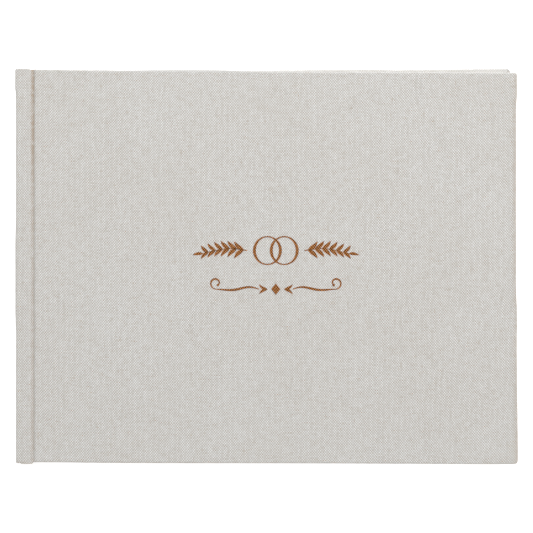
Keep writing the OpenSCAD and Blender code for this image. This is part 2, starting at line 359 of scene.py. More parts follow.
class Weave:
    """Plain weave of uneven linen threads, on the flat map: which thread is on top, and how high it is."""

    def __init__(self, n):
        self.x, self.y = n.flat_mm()
        self.from_seam = n.math("ABSOLUTE", n.minus(self.x, SEAM_FLAT / MM))
        straight = self.unbowed(n)
        warp = self.thread(n, self.x, straight, WARP_PITCH, 3.0)
        weft = self.thread(n, straight, self.x, WEFT_PITCH, 11.0)
        side = n.math("SIGN", n.times(warp["wave"], weft["wave"]))
        rise = n.times(n.times(side, weft["crest"]), CROWN)
        dive = n.times(n.times(side, warp["crest"]), -CROWN)
        warp_top = n.plus(n.times(warp["round"], 0.5), rise)
        weft_top = n.plus(n.times(weft["round"], 0.5), dive)
        self.warp_on_top = n.spread(n.minus(warp_top, weft_top), -0.06, 0.06)
        self.height = n.math("MAXIMUM", warp_top, weft_top)
        self.warp_tone = warp["tone"]
        self.weft_tone = weft["tone"]
        between = n.minus(warp["fibre"], weft["fibre"])
        self.fibre = n.plus(n.times(self.warp_on_top, between), weft["fibre"])

    def unbowed(self, n):
        """The height on the cover less the weft's sag, which stays the same from groove to spine."""
        on_board = n.math("MAXIMUM", self.from_seam, (GROOVE_FLAT - SEAM_FLAT) / MM)
        across = n.plus(on_board, SEAM_FLAT / MM - BOW_MIDDLE)
        sag = n.times(n.math("POWER", across, 2.0), WEFT_BOW)
        return n.minus(self.y, sag)

    def thread(self, n, across, along, pitch, seed):
        """One set of parallel threads: its wave, roundness, tone along each thread, and fibres."""
        wander = n.vector(n.times(across, 0.09), n.times(along, 0.22), seed)
        place = n.plus(n.math("DIVIDE", across, pitch), n.times(n.noise(wander), 0.55))
        wave = n.math("SINE", n.times(place, math.pi))
        crest = n.math("ABSOLUTE", wave)
        number = n.times(n.math("FLOOR", place), THREAD_STEP)
        swell = n.noise(n.vector(number, n.times(along, 0.11), seed + 1.0), 1.0, 1.0)
        width = n.plus(n.times(swell, 0.16), 0.36)
        off = n.math("DIVIDE", n.math("DIVIDE", n.math("ARCCOSINE", crest), math.pi), width)
        within = n.minus(1.0, n.times(off, off))
        rounded = n.math("SQRT", n.math("MAXIMUM", within, 0.0))
        tone = n.noise(n.vector(number, n.times(along, 0.2), seed + 2.0), 1.0, 2.0, 0.6)
        strands = n.vector(n.times(across, 11.0), n.times(along, 1.6), seed + 3.0)
        fibre = n.noise(strands, 1.0, 2.0, 0.6)
        return {"wave": wave, "crest": crest, "round": rounded, "tone": tone, "fibre": fibre}


def near_groove(n, weave):
    """1 along the joint groove, fading out over its shoulders."""
    off = n.math("ABSOLUTE", n.minus(weave.from_seam, (GROOVE_FLAT - SEAM_FLAT) / MM))
    return n.spread(off, 1.9, 0.2)


def near_edge(n, weave):
    """1 on the tail and fore edges of the case, where hands rub it."""
    tail = n.math("ABSOLUTE", n.plus(weave.y, BOARD_HALF_H / MM + 0.5))
    fore = n.math("ABSOLUTE", n.minus(weave.from_seam, (FORE_X - SEAM_FLAT) / MM))
    return n.math("MAXIMUM", n.spread(tail, 1.4, 0.3), n.spread(fore, 3.4, 0.3))


def head_edge_painted_light(n, weave):
    """1 on the boards' head edges and the turn-ins just inside them, where the cloth is painted paler as
    painted light.
    """
    edge = BOARD_HALF_H / MM
    board = (BOARD_X - SEAM_FLAT) / MM
    along = n.spread(weave.from_seam, board + 10.0, board + 50.0)
    from_face = n.spread(weave.y, edge - 1.3, edge + 0.1)
    to_inside = n.spread(weave.y, edge + 8.0, edge + 5.5)
    return n.times(along, n.times(from_face, to_inside))


WARP_LIGHT, WARP_DARK = srgb(230, 231, 231), srgb(215, 214, 212)
WEFT_LIGHT, WEFT_DARK = srgb(186, 184, 181), srgb(167, 159, 148)


def bare_threads(n, weave):
    """The colour of clean cloth: its threads with their fibres and slubs, and painted shade where they dip.
    """
    warp = n.mix(n.spread(weave.warp_tone, 0.3, 0.75), WARP_LIGHT, WARP_DARK)
    weft = n.mix(n.spread(weave.weft_tone, 0.3, 0.75), WEFT_LIGHT, WEFT_DARK)
    threads = n.mix(weave.warp_on_top, weft, warp)
    fibres = n.times(n.spread(weave.fibre, 0.5, 0.75), 0.35)
    threads = n.mix(fibres, threads, srgb(172, 162, 148))
    # painted shade: the threads darkened where they dip under their neighbours
    painted_dip_shade = n.times(n.spread(weave.height, 0.62, 0.1), 0.6)
    threads = n.mix(painted_dip_shade, threads, srgb(132, 121, 106))
    tone_on_top = n.mix(weave.warp_on_top, weave.weft_tone, weave.warp_tone)
    slubs = n.times(n.spread(tone_on_top, 0.64, 0.78), 0.36)
    return n.mix(slubs, threads, srgb(174, 146, 114))


def dirt_and_groove_shade(n, weave, at):
    """How much darker brown the cloth is made, in patches: in the groove, most towards the head, as dirt and
    painted shade; on the tail and fore edges, as dirt.
    """
    towards_head = n.plus(n.times(n.spread(weave.y, 10.0, 85.0), 0.4), 0.28)
    # dirt and painted shade along the joint groove
    in_groove = n.times(near_groove(n, weave), towards_head)
    worn = n.math("MAXIMUM", in_groove, n.times(near_edge(n, weave), 0.3))
    return n.times(worn, n.spread(n.noise(at, 0.35, 3.0, 0.6), 0.2, 0.62))


def linen():
    """Unbleached linen: pale warp, greyer weft, tan slubs, painted shade where the threads dip, dirt and
    painted shade in the joint groove, dirt where hands rub the edges, and painted light on the head edges.
    """
    n = Nodes("book_linen")
    weave = Weave(n)
    at = n.vector(weave.x, weave.y, 5.0)
    # darker brown: dirt on the edges, dirt and painted shade in the groove
    threads = n.mix(dirt_and_groove_shade(n, weave, at), bare_threads(n, weave), srgb(160, 137, 112))
    # painted light: the head edges and their turn-ins made paler, as if lit more
    threads = n.mix(n.times(head_edge_painted_light(n, weave), 0.5), threads, srgb(216, 216, 215))
    cloud = n.times(n.spread(n.noise(at, 0.016, 2.0), 0.3, 0.7), 0.07)
    n.colour(n.mix(cloud, threads, srgb(172, 160, 144)))
    n.bump(n.plus(weave.height, n.times(weave.fibre, 0.18)), 0.2)
    n.rough(0.95)
    n.shader.inputs["Specular IOR Level"].default_value = 0.2
    n.shader.inputs["Sheen Weight"].default_value = 0.06
    n.shader.inputs["Sheen Roughness"].default_value = 0.5
    return n.material


def foil():
    """Copper foil pressed on the threads, with painted reflection and shade: bright on the weft and the
    threads' tops, dark on the warp and where the threads dip; worn pale in places.
    """
    n = Nodes("copper_foil")
    weave = Weave(n)
    worn = n.noise(n.vector(weave.x, weave.y, 4.0), 1.5, 3.0, 0.6)
    uneven = n.times(n.minus(worn, 0.5), 0.7)
    # painted highlight on the threads' tops and painted shade where they dip
    painted_top_light = n.spread(n.plus(weave.height, uneven), 0.2, 0.7)
    bright = n.mix(painted_top_light, srgb(84, 40, 8), srgb(178, 106, 36))
    # painted shade: the foil darker where the warp is on top
    copper = n.mix(weave.warp_on_top, bright, srgb(58, 24, 2))
    weft_on_top = n.minus(1.0, weave.warp_on_top)
    bare = n.times(weft_on_top, n.spread(worn, 0.3, 0.66))
    n.colour(n.mix(n.times(bare, 0.5), copper, srgb(206, 164, 122)))
    n.shader.inputs["Metallic"].default_value = 0.9
    n.rough(n.plus(n.times(worn, 0.3), 0.25))
    n.bump(weave.height, 0.14)
    return n.material


def paper(name, light, dark):
    """Uncoated paper: faint cloudy formation, fibres, and a soft tooth."""
    n = Nodes(name)
    at = n.object_mm()
    cloud = n.noise(at, 0.12, 3.0)
    tooth = n.noise(at, 3.5, 3.0, 0.6)
    mixed = n.plus(n.times(cloud, 0.6), n.times(tooth, 0.4))
    n.colour(n.mix(n.spread(mixed, 0.35, 0.7), light, dark))
    n.bump(tooth, 0.03, 0.6)
    n.rough(n.plus(n.times(tooth, 0.1), 0.8))
    n.shader.inputs["Specular IOR Level"].default_value = 0.3
    return n.material


def open_weave(name, light, dark, pitch):
    """Mull: a starched open gauze over glue, as a square lattice of threads in the spine's plane."""
    n = Nodes(name)
    _, along_y, along_z = n.split(n.object_mm())
    waves = []
    for along in (along_y, along_z):
        waves.append(n.math("ABSOLUTE", n.math("SINE", n.times(along, math.pi / pitch))))
    thread = n.spread(n.math("MINIMUM", waves[0], waves[1]), 0.45, 0.2)
    n.colour(n.mix(thread, dark, light))
    n.bump(thread, 0.1)
    n.rough(0.9)
    return n.material


def board():
    n = Nodes("greyboard")
    at = n.object_mm()
    grain = n.noise(at, 1.3, 4.0, 0.6)
    fleck = n.spread(n.noise(at, 4.0, 2.0), 0.62, 0.75)
    pulp = n.mix(grain, srgb(150, 146, 139), srgb(118, 113, 106))
    n.colour(n.mix(fleck, pulp, srgb(84, 80, 76)))
    n.bump(grain, 0.05)
    n.rough(0.95)
    return n.material


def band_silk():
    """Headband: silk wound round a core, in alternating champagne and ivory turns."""
    n = Nodes("band_silk")
    _, turns = n.flat_mm()
    stripe = n.spread(n.math("SINE", n.times(turns, math.pi)), -0.25, 0.25)
    fine = n.noise(n.object_mm(), 9.0, 2.0)
    silk = n.mix(stripe, srgb(238, 231, 214), srgb(203, 176, 132))
    n.colour(n.mix(n.times(fine, 0.25), silk, srgb(160, 140, 110)))
    n.bump(fine, 0.02)
    n.rough(0.45)
    n.shader.inputs["Sheen Weight"].default_value = 0.3
    return n.material


def thread_wax():
    n = Nodes("waxed_thread")
    at = n.object_mm()
    twist = n.node("ShaderNodeTexWave", wave_type="BANDS", bands_direction="DIAGONAL")
    n.feed(twist.inputs["Vector"], at)
    twist.inputs["Scale"].default_value = 0.8
    n.colour(n.mix(twist.outputs[1], srgb(226, 220, 205), srgb(186, 176, 156)))
    n.bump(twist.outputs[1], 0.05)
    n.rough(0.6)
    return n.material


LINEN = linen()
FOIL = foil()
LEAF_PAPER = paper("leaf_paper", srgb(231, 227, 218), srgb(226, 221, 211))
END_PAPER = paper("end_paper", srgb(227, 221, 210), srgb(221, 214, 202))
KRAFT = paper("kraft_paper", srgb(186, 150, 108), srgb(156, 120, 82))
GREYBOARD = board()
MULL = open_weave("mull_gauze", srgb(236, 232, 220), srgb(198, 188, 168), 1.2)
SILK = band_silk()
THREAD = thread_wax()


# ---- the book cloth ----
EDGE_R = 0.8 * MM        # rounding of the cloth over a board's edges
FUZZ = 0.09 * MM         # unevenness of that edge
MARGIN_START = 0.4 * MM  # the turned-in cloth lies flat from here, outside the corner's middle
RUBBED_R = 2.2 * MM      # rounding of the front cover's tail corner
CUT_CORNER = 0.65        # how nearly straight the back cover's corners are
ROWS = 110               # of corners, from tail to head


def rim_profile(thickness):
    """(outward, inward depth) of the cloth from the flat face over an edge to the inner face."""
    r = min(EDGE_R, thickness / 2)
    turn = np.linspace(0, math.pi / 2, 6)
    over = [(CORNER_R - r + r * math.sin(a), r - r * math.cos(a)) for a in turn]
    under = [(CORNER_R - r + r * math.cos(a), thickness - r + r * math.sin(a)) for a in turn]
    return over + under


def fore_lean(y):
    """How far the front's fore edge stands out: at the tail, at the head and just below the middle."""
    at_tail = smoothstep(0.0, -0.115, y)
    at_head = smoothstep(0.090, 0.097, y)
    below_middle = smoothstep(0.020, 0.0, abs(y + 0.027))
    return (1.0 * at_tail + 0.5 * at_head + 0.38 * below_middle - 0.25) * MM


def spine_swell(y):
    """How far the spine's cloth stands out: at the head, where a book is pulled, and in the middle."""
    at_head = smoothstep(0.095, 0.101, y)
    in_middle = smoothstep(0.034, 0.018, abs(y + 0.006))
    return (0.5 * at_head + 0.35 * in_middle - 0.23) * MM


def over_board(first, last, x):
    """0 to 1 between two distances past the spine side of the boards, in mm."""
    return smoothstep(BOARD_X + first * MM, BOARD_X + last * MM, x)


def head_proud(x):
    """How far the front's cloth stands past its board at the head: over the spine and half the cover."""
    over_band = smoothstep(GROOVE_MIDDLE, SPINE_X + 5 * MM, x)
    past_joint = over_board(19, 12, x)
    near_half = over_board(148, 98, x)
    bulge = over_board(48, 83, x) * over_board(128, 98, x)
    return (0.4 * over_band + 0.17 * past_joint + 0.4 * near_half + 0.42 * bulge) * MM


def tail_proud(x):
    """The same at the tail, where the spine stands out and the rest is drawn in a little."""
    over_band = smoothstep(GROOVE_MIDDLE + 0.4 * MM, GROOVE_MIDDLE - 0.3 * MM, x)
    over_band *= 0.6 + 0.4 * smoothstep(SPINE_X + 2 * MM, SPINE_X + 3.6 * MM, x)
    past_joint = over_board(48, 8, x)
    drawn_in = over_board(48, 178, x)
    return (1.0 * over_band - 0.2 * past_joint - 0.24 * drawn_in) * MM


def back_proud(x, side):
    """The same for the back, at its head (side 1) or tail: over the spine, and unevenly along the head."""
    proud = BAND_PROUD * over_board(-0.2, -1.6, x)
    if side > 0:
        middle = over_board(88, 113, x) * over_board(203, 188, x)
        proud += (0.38 * middle + 0.22 * over_board(225, 240, x)) * MM
    return proud


def rub_corner(x, y):
    """Draws the cloth in round the tail corner, which is rubbed rounder than the others."""
    middle_x = FORE_X - RUBBED_R
    middle_y = -(BOARD_HALF_H + tail_proud(FORE_X) - RUBBED_R)
    out_x = max(0.0, (x - middle_x) / RUBBED_R)
    out_y = max(0.0, (middle_y - y) / RUBBED_R)
    if out_x * out_y == 0:
        return x, y
    draw = 1 - 0.1 * out_x * out_y
    return middle_x + out_x * draw * RUBBED_R, middle_y - out_y * draw * RUBBED_R


def corner_turn(cut):
    """Outward directions round a fore corner, from a quarter circle at cut 0 to a straight cut at 1."""
    turn = []
    for t in np.linspace(0, 1, 8)[1:-1]:
        angle = t * math.pi / 2
        along_x = cut * t + (1 - cut) * math.sin(angle)
        along_y = cut * (1 - t) + (1 - cut) * math.cos(angle)
        turn.append((along_x, along_y))
    return turn


class CaseCloth:
    """Cloth of one half of the case: spine half, band, groove and board, with its edges turned in."""

    def __init__(self, fore_x, skew, front):
        self.front, self.skew = front, skew
        self.outer, inner, flat_x = case_path(fore_x)
        self.flat_x = flat_x if front else 2 * SEAM_FLAT - flat_x
        self.flat_sign = 1 if front else -1
        across = inner - self.outer
        self.thickness = np.linalg.norm(across, axis=1)
        self.across = across / self.thickness[:, None]
        self.rows = np.linspace(-1, 1, ROWS)
        self.verts, self.uvs, self.faces = [], [], []
        self.outer_face()
        self.rim()

    def put(self, x, y, depth, flat):
        """Adds a corner, moved to the cover's real outline and turned with its board."""
        if self.front:
            x, y = rub_corner(x, y)
            x += fore_lean(y) * smoothstep(0, FORE_X, x)
        x -= spine_swell(y) * smoothstep(SPINE_X + 4 * MM, SPINE_X, x)
        y += self.skew * max(0.0, x - BOARD_X)
        self.verts.append((x, y, BOOK_T - depth if self.front else depth))
        self.uvs.append(flat)
        return len(self.verts) - 1

    def row_y(self, x, t):
        """Height of a row on the flat, which ends short of the edge by the corner's rounding."""
        side = 1 if t > 0 else -1
        if not self.front:
            proud = back_proud(x, side)
        elif side > 0:
            proud = head_proud(x)
        else:
            proud = tail_proud(x)
        return t * (BOARD_HALF_H + proud - CORNER_R)

    def outer_face(self):
        """The face that shows, in lines from tail to head, from the spine to the fore edge."""
        for (x, depth), across, flat_x in zip(self.outer, self.across, self.flat_x):
            for t in self.rows:
                y = self.row_y(x, t)
                lift = ripple(x, y, self.front)
                self.put(x + across[0] * lift, y, depth + across[1] * lift, (flat_x, y))
        self.faces += grid_faces(len(self.outer), ROWS)

    def border(self):
        """Stops along the tail, round the fore edge and back along the head: the line and row of
        each, the way out, and the width of its turned-in margin."""
        last, top = len(self.outer) - 1, ROWS - 1
        fore_x = self.outer[last][0]
        ends = [min(TURN_IN, fore_x - x) for x, _ in self.outer]
        ys = [self.row_y(fore_x, t) for t in self.rows]
        sides = [min(TURN_IN, y - ys[0], ys[top] - y) for y in ys]
        corner = corner_turn(0.0 if self.front else CUT_CORNER)
        stops = [(i, 0, (0, -1), ends[i]) for i in range(last + 1)]
        stops += [(last, 0, (x, -y), 0.0) for x, y in corner]
        stops += [(last, j, (1, 0), sides[j]) for j in range(top + 1)]
        stops += [(last, top, (x, y), 0.0) for x, y in reversed(corner)]
        stops += [(i, top, (0, 1), ends[i]) for i in reversed(range(last + 1))]
        return stops

    def rim_line(self, i, j, out, margin):
        """Corners from the face over the edge and in along the margin, at one stop of the border."""
        (x, depth), across, thickness = self.outer[i], self.across[i], self.thickness[i]
        y = self.row_y(x, self.rows[j])
        profile = rim_profile(thickness)
        profile += [(MARGIN_START * (1 - k) - margin * k, thickness) for k in (0.0, 0.35, 0.7, 1.0)]
        fuzz = FUZZ * noise.noise((x * 530, y * 530, 8.0))
        line, walked, before = [i * ROWS + j], 0.0, (0.0, 0.0)
        for outward, inward in profile:
            walked += math.hypot(outward - before[0], inward - before[1])
            before = (outward, inward)
            reach = outward + (fuzz if outward > CORNER_R - EDGE_R else 0.0)
            flat = (self.flat_x[i] + self.flat_sign * out[0] * walked, y + out[1] * walked)
            place_x = x + out[0] * reach + across[0] * inward
            line.append(self.put(place_x, y + out[1] * reach, depth + across[1] * inward, flat))
        return line

    def rim(self):
        """The edges and margins; neighbouring lines round a corner start from the same point."""
        lines = [self.rim_line(*stop) for stop in self.border()]
        for near, far in zip(lines, lines[1:]):
            for a in range(len(near) - 1):
                quad = (near[a], near[a + 1], far[a + 1], far[a])
                self.faces.append(quad if near[a] != far[a] else quad[:3])

    def piece(self, name):
        faces = self.faces if self.front else [face[::-1] for face in self.faces]
        return thicken(new_piece(name, self.verts, faces, LINEN, self.uvs), CLOTH_T * 0.85)


front_case = CaseCloth(FORE_X, FRONT_SKEW, front=True).piece("case_cloth_front")
back_case = CaseCloth(BACK_FORE_X, BACK_SKEW, front=False).piece("case_cloth_back")
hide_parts("front_cloth", "spine_cloth")
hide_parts("back_cloth", "spine_cloth")


# ---- leaves ----
SHOULDER_X = SPINE_X + 5.0 * MM  # the fanned backs begin to draw together
BLOCK_X = SPINE_X + 10.8 * MM    # from here the leaves lie flat in the block
ARC_END = SPINE_X + 19.0 * MM    # the leaves bend between the shoulder and here
PASTE_X = SPINE_X + 6.0 * MM     # the pastedowns start here, at the shoulder
FOLD_SPACING = 0.27 * MM         # between neighbouring leaves at the fold
BACK_PITCH = (BOOK_T - 2 * SHOULDER_MARGIN) / SECTIONS
FOLD_X = BACKS_X + (SECTION_LEAVES - 1) / 2 * FOLD_SPACING + LEAF_T / 2
DRAWN_LEAF_T = 0.9 * LEAF_T      # a hair of air between the leaves
FORE_TRIM = 0.12                 # spread of the trimmed edges, in mm
END_TRIM = 0.1


def ribbon(path, thickness):
    """Closed outline of a sheet's cross-section, around the (x, z) points of its middle line."""
    points = np.array(path)
    along = np.gradient(points, axis=0)
    along /= np.linalg.norm(along, axis=1)[:, None]
    side = np.stack([-along[:, 1], along[:, 0]], axis=1) * thickness / 2
    return np.concatenate([points + side, (points - side)[::-1]])


def extrude_ribbon(verts, uvs, faces, outline, low_y, high_y):
    """Adds a closed sheet with that cross-section, from low_y to high_y."""
    first, count, steps = len(verts), len(outline), 6
    for y in np.linspace(low_y, high_y, steps):
        for (x, z), length in zip(outline, running_lengths(outline)):
            verts.append((x, y, z))
            uvs.append((length, y))
    faces += tube_faces(first, steps, count)
    for row in (first, first + (steps - 1) * count):
        for j in range(count // 2 - 1):
            quad = (row + j, row + j + 1, row + count - 2 - j, row + count - 1 - j)
            faces.append(quad[::-1] if row == first else quad)


def leaf_line(fold_z, block_z, end_x):
    """A leaf's middle line, from its fold to its fore edge."""
    near = np.linspace(FOLD_X, ARC_END, 30)
    xs = np.concatenate([near, [ARC_END + 60 * MM, end_x - 60 * MM, end_x]])
    return [(x, fold_z + (block_z - fold_z) * smoothstep(SHOULDER_X, BLOCK_X, x)) for x in xs]


def folded_sheet(back_z, block_z, level, rng):
    """Cross-section of a folded sheet; level is its distance from the section's middle, in leaves."""
    ends = [LEAF_FORE_X - abs(rng.gauss(0, FORE_TRIM)) * MM for _ in range(2)]
    radius, rise = level * FOLD_SPACING, level * LEAF_T
    upper = leaf_line(back_z + radius, block_z + rise, ends[0])
    lower = leaf_line(back_z - radius, block_z - rise, ends[1])
    angles = np.linspace(0, math.pi, 9)[1:-1]
    turn = [(FOLD_X - radius * math.sin(a), back_z + radius * math.cos(a)) for a in angles]
    return ribbon(upper[::-1] + turn + lower, DRAWN_LEAF_T)


def section(number, rng):
    """One sewn section: four folded sheets, nested, each a closed sheet of paper."""
    box_low, box_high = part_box(f"section_{number}")
    block_z = (box_low.z + box_high.z) / 2
    back_z = BOOK_T / 2 + (SECTIONS / 2 - number + 0.5) * BACK_PITCH
    verts, uvs, faces = [], [], []
    for sheet in range(SECTION_LEAVES // 2):
        level = (SECTION_LEAVES - 1) / 2 - sheet
        outline = folded_sheet(back_z, block_z, level, rng)
        trim = [LEAF_HALF_H - abs(rng.gauss(0, END_TRIM)) * MM for _ in range(2)]
        extrude_ribbon(verts, uvs, faces, outline, -trim[0], trim[1])
    piece = new_piece(f"sewn_section_{number}", verts, faces, LEAF_PAPER, uvs, smooth=False)
    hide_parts(f"section_{number}", f"section_back_{number}")
    return piece


def flyleaf(side):
    """The free half of an endpaper, tipped to the section beside it."""
    low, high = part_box(f"{side}_flyleaf")
    middle = (low.z + high.z) / 2
    fold = SHOULDER_MARGIN - 0.15 * MM
    fold_z = BOOK_T - fold if side == "front" else fold
    line = leaf_line(fold_z, middle, LEAF_FORE_X - 0.1 * MM)
    line = [(x, z) for x, z in line if x > BACKS_X + 2 * MM]
    verts, uvs, faces = [], [], []
    extrude_ribbon(verts, uvs, faces, ribbon(line, DRAWN_LEAF_T), -LEAF_HALF_H, LEAF_HALF_H)
    piece = new_piece(f"endpaper_{side}_free", verts, faces, END_PAPER, uvs, smooth=False)
    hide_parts(f"{side}_flyleaf")
    return piece


def pastedown_lines(margin_y):
    """The x and y of a pastedown's corners, which lie close where it bends or sinks."""
    xs = np.concatenate([
        np.linspace(PASTE_X, BOARD_X + 2 * MM, 22),
        np.linspace(BOARD_X + 3 * MM, BOARD_X + 28 * MM, 14),
        np.linspace(BOARD_X + 32 * MM, LEAF_FORE_X - 18 * MM, 20),
        np.linspace(LEAF_FORE_X - 15 * MM, LEAF_FORE_X - 8 * MM, 10),
        [LEAF_FORE_X - 4 * MM, LEAF_FORE_X],
    ])
    ys = np.concatenate([
        np.linspace(-LEAF_HALF_H, -margin_y - 2 * MM, 4),
        np.linspace(-margin_y - 1.5 * MM, -margin_y + 1.5 * MM, 7),
        np.linspace(-margin_y + 8 * MM, margin_y - 8 * MM, 20),
        np.linspace(margin_y - 1.5 * MM, margin_y + 1.5 * MM, 7),
        np.linspace(margin_y + 2 * MM, LEAF_HALF_H, 4),
    ])
    return xs, ys


def pastedown_depth(x, y, margin_x, margin_y):
    """Depth of the paper below the cover's face: it sinks between the margins, less over the mull."""
    sink, soft = 0.22 * MM, 0.8 * MM
    bare = smoothstep(margin_y + soft, margin_y - soft, abs(y))
    bare *= smoothstep(margin_x + soft, margin_x - soft, x)
    gauze = 0.4 * over_board(25.5, 24.5, x)
    on_board = COVER_T + PASTE_T - sink * bare * (1 - gauze)
    in_joint = SHOULDER_MARGIN - 0.3 * MM
    fold = smoothstep(PASTE_X + 0.5 * MM, BOARD_X - 0.2 * MM, x)
    return in_joint * (1 - fold) + on_board * fold


def pastedown(side, fore_x):
    """The glued half of an endpaper: from the shoulder through the joint and over the turned-in cloth."""
    front = side == "front"
    margin_y = BOARD_HALF_H - TURN_IN
    xs, ys = pastedown_lines(margin_y)
    verts, uvs = [], []
    for x in xs:
        for y in ys:
            depth = pastedown_depth(x, y, fore_x - TURN_IN, margin_y)
            verts.append((x, y, BOOK_T - depth if front else depth))
            uvs.append((x, y))
    faces = grid_faces(len(xs), len(ys))
    if front:
        faces = [face[::-1] for face in faces]
    piece = thicken(new_piece(f"endpaper_{side}_glued", verts, faces, END_PAPER, uvs), PASTE_T * 0.8)
    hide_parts(f"{side}_pastedown")
    return piece


rng = random.Random(7)
sections = {i: section(i, rng) for i in range(1, SECTIONS + 1)}
flyleaves = {side: flyleaf(side) for side in ("front", "back")}
pastedowns = {"front": pastedown("front", FORE_X), "back": pastedown("back", BACK_FORE_X)}


# ---- head and tail bands ----
ROLL_R = 0.95 * MM      # radius of the silk roll
ROLL_RINGS, ROLL_SIDES = 151, 16
SILK_PITCH = 0.45 * MM  # from one turn of the silk to the next
TAB_RINGS = 12
TAB_T = 0.25 * MM
TAB_LENGTH = 10 * MM    # of the tab below the edge of the leaves


def silk_roll(verts, uvs, faces, middle_x, middle_y, z_low, z_high):
    """Adds the roll: silk wound round a core, with rounded ends."""
    for t in np.linspace(0, 1, ROLL_RINGS):
        z = z_low + (z_high - z_low) * t
        cap = 0.25 + 0.75 * math.sqrt(1 - (2 * t - 1) ** 24)
        for j in range(ROLL_SIDES):
            angle = 2 * math.pi * j / ROLL_SIDES
            turn = z / SILK_PITCH + angle / (2 * math.pi)
            r = ROLL_R * cap * (1 + 0.10 * abs(math.sin(math.pi * turn)))
            verts.append((middle_x + r * math.cos(angle), middle_y + r * math.sin(angle), z))
            uvs.append((0.0, turn * MM * 0.5))
    faces += tube_faces(0, ROLL_RINGS, ROLL_SIDES)
    faces.append(tuple(range(ROLL_SIDES))[::-1])
    faces.append(tuple(range(len(verts) - ROLL_SIDES, len(verts))))


def band_tab(verts, uvs, faces, back_x, near_y, far_y, z_low, z_high):
    """Adds the flat tab that is glued to the spine."""
    first = len(verts)
    front_x = back_x + TAB_T
    for z in np.linspace(z_low + 0.2 * MM, z_high - 0.2 * MM, TAB_RINGS):
        for x, y in ((back_x, near_y), (front_x, near_y), (front_x, far_y), (back_x, far_y)):
            verts.append((x, y, z))
            uvs.append((0.0, z))
    faces += tube_faces(first, TAB_RINGS, 4)
    faces.append((first + 3, first + 2, first + 1, first))
    faces.append(tuple(range(len(verts) - 4, len(verts))))


def end_band(name, node, side):
    """A silk roll across the ends of the sections, on a woven tab glued to the spine."""
    low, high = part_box(node)
    roll_y = side * (LEAF_HALF_H + ROLL_R)
    verts, uvs, faces = [], [], []
    silk_roll(verts, uvs, faces, low.x + 1.15 * MM, roll_y, low.z, high.z)
    band_tab(verts, uvs, faces, low.x, side * (LEAF_HALF_H - TAB_LENGTH), roll_y, low.z, high.z)
    piece = new_piece(name, verts, faces, SILK, uvs)
    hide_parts(node)
    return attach(piece, "spine")


end_band("head_band_roll", "headband", 1)
end_band("tail_band_roll", "tailband", -1)


# ---- foil ornament ----
foil_low, foil_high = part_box("foil_ornament")
ORNAMENT_X = (foil_low.x + foil_high.x) / 2
UPPER_W = foil_high.x - foil_low.x
RING_R = 8.1 * MM
UPPER_Y = foil_high.y - RING_R
LOWER_Y = UPPER_Y - 21.6 * MM
LOWER_W = 73.6 * MM
RING_APART = 9.4 * MM           # between the two rings' middles
LEAF_PAIRS = 6
STROKE_STEPS = 32
FOIL_Z = BOOK_T + 0.045 * MM    # top of the foil
FOIL_FOOT = BOOK_T - 0.05 * MM  # its sides reach into the cloth


def arc(middle, radius, angles):
    return [(middle[0] + radius * math.cos(a), middle[1] + radius * math.sin(a)) for a in angles]


class Foil:
    """Flat strokes and shapes of foil, gathered in one mesh."""

    def __init__(self):
        self.verts, self.faces, self.uvs = [], [], []

    def add(self, left, right):
        """A stroke between two lines of points."""
        first, count = len(self.verts), len(left)
        for z in (FOIL_Z, FOIL_FOOT):
            for x, y in list(left) + list(right):
                self.verts.append((x, y, z - ripple(x, y)))
                self.uvs.append((x, y))
        low = first + 2 * count
        for i in range(count - 1):
            a, b = first + i, first + count + i
            self.faces.append((a, b, b + 1, a + 1))
            self.faces.append((low + i, low + i + 1, low + count + i + 1, low + count + i))
            self.faces.append((a, a + 1, low + i + 1, low + i))
            self.faces.append((b + 1, b, low + count + i, low + count + i + 1))
        for i, flip in ((0, True), (count - 1, False)):
            end = (first + i, first + count + i, low + count + i, low + i)
            self.faces.append(end if not flip else end[::-1])

    def stroke(self, points, widths):
        """A pen stroke along points, of varying width."""
        line = np.array(points, float)
        along = np.gradient(line, axis=0)
        along /= np.linalg.norm(along, axis=1)[:, None]
        side = np.stack([-along[:, 1], along[:, 0]], axis=1) * np.array(widths)[:, None] / 2
        self.add(line + side, line - side)

    def leaf(self, foot, angle, length, width, bend):
        """A pointed leaf from its foot, gently curved."""
        cos, sin = math.cos(angle), math.sin(angle)
        points, widths = [], []
        for t in np.linspace(0, 1, 15):
            u, v = length * t, length * bend * math.sin(math.pi * t)
            points.append((foot[0] + cos * u - sin * v, foot[1] + sin * u + cos * v))
            widths.append(max(0.05 * MM, width * math.sin(math.pi * t ** 0.8) ** 0.85))
        self.stroke(points, widths)

    def dot(self, middle, radius):
        upper = arc(middle, radius, np.linspace(0, math.pi, 13))
        lower = [(x, 2 * middle[1] - y) for x, y in upper]
        self.add(upper, lower)

    def ring(self, middle, radius, thin, thick):
        """A ring with the contrast of a broad pen: thick at its sides, thin above and below."""
        angles = np.linspace(0, 2 * math.pi, 97)
        inner = []
        for a in angles:
            r = radius - thin - (thick - thin) * math.cos(a) ** 2
            inner.append((middle[0] + r * math.cos(a), middle[1] + r * math.sin(a)))
        self.add(inner, arc(middle, radius, angles))


